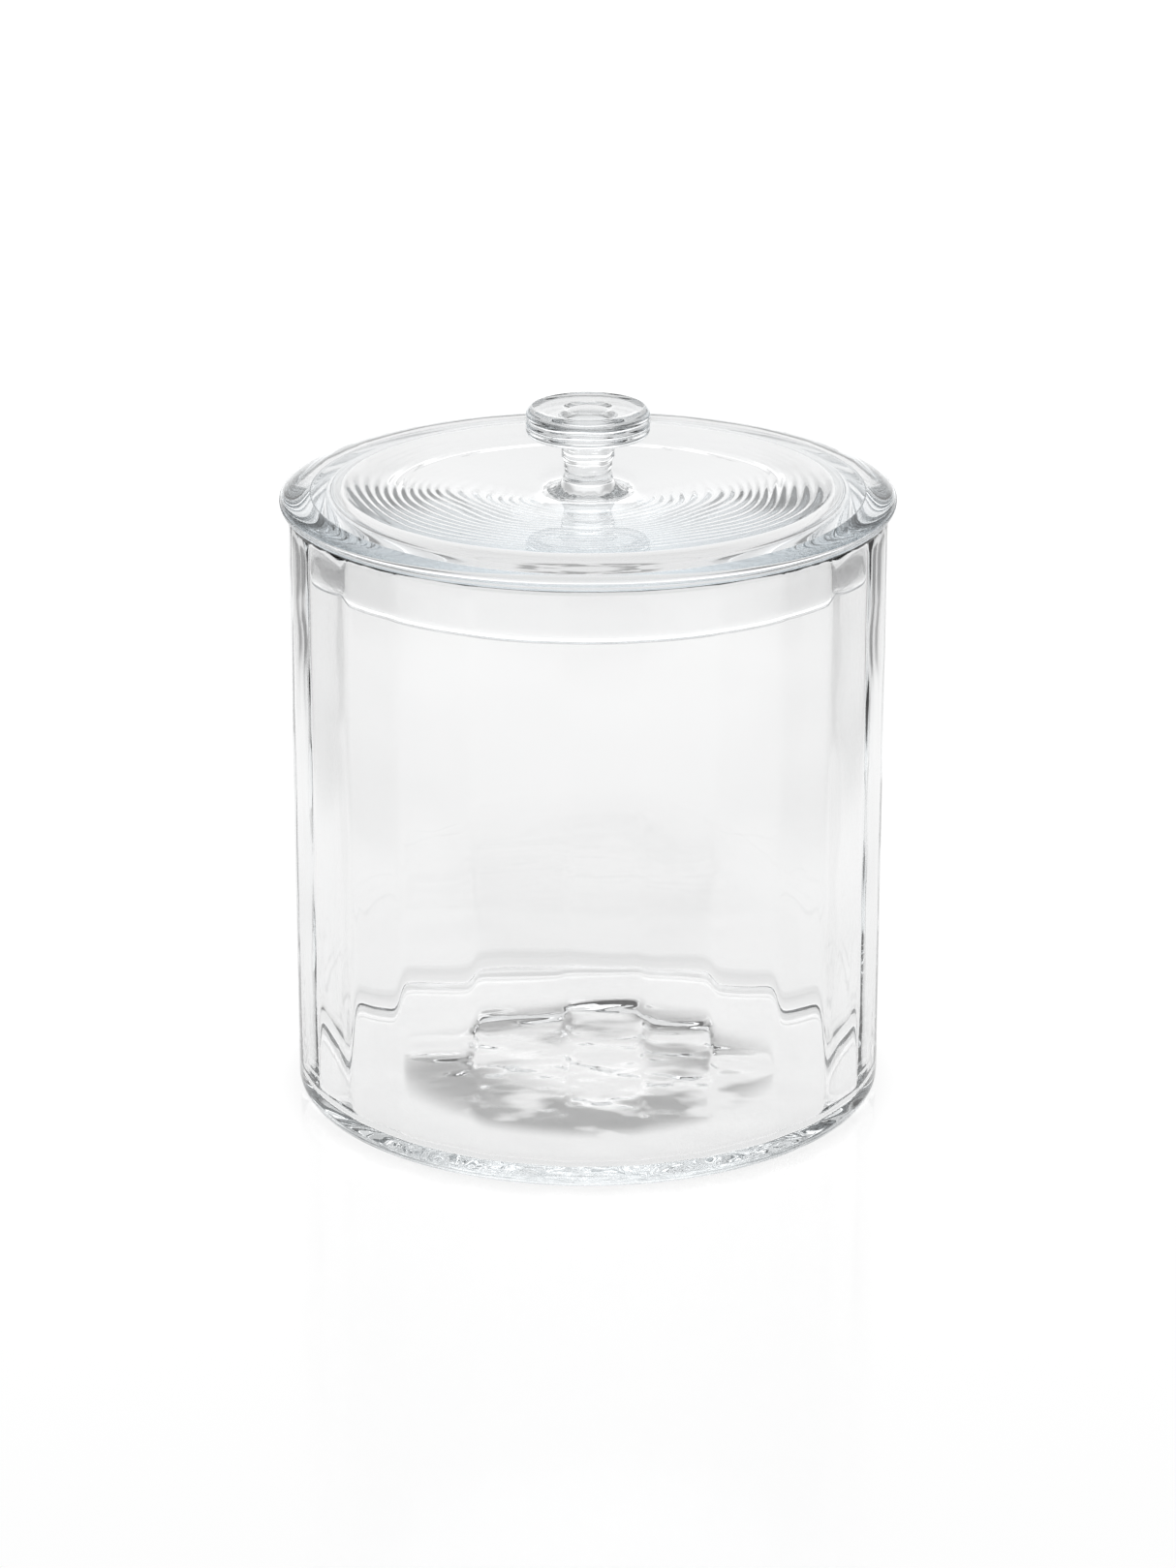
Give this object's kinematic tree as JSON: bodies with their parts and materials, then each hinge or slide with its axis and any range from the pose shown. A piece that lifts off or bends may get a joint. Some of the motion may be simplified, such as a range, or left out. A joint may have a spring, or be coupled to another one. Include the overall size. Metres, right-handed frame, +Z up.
{
  "type": "lidded glass canister",
  "caption": "Round clear-glass storage canister with flat panels inside the wall and a lift-off dished glass lid with a disc knob.",
  "frame": {"origin": "centre of the circle that the jar stands on", "axes": "+Z up along the canister's axis, front towards -Y"},
  "size_m": [0.1952, 0.1952, 0.227],
  "materials": {
    "jar_glass": "clear, thick, smooth outside and gently rippled inside",
    "lid_glass": "clear, thick, faint rings round its middle",
    "knob_glass": "clear, solid, fire-polished"
  },
  "bodies": {
    "jar": {"jar": "jar_glass"},
    "lid": {"lid": "lid_glass", "knob": "knob_glass"}
  },
  "joints": [
    {"name": "lid_lift", "type": "slide", "parent": "jar", "child": "lid", "axis": [0, 0, 1], "range_m": [0, 0.09]}
  ]
}
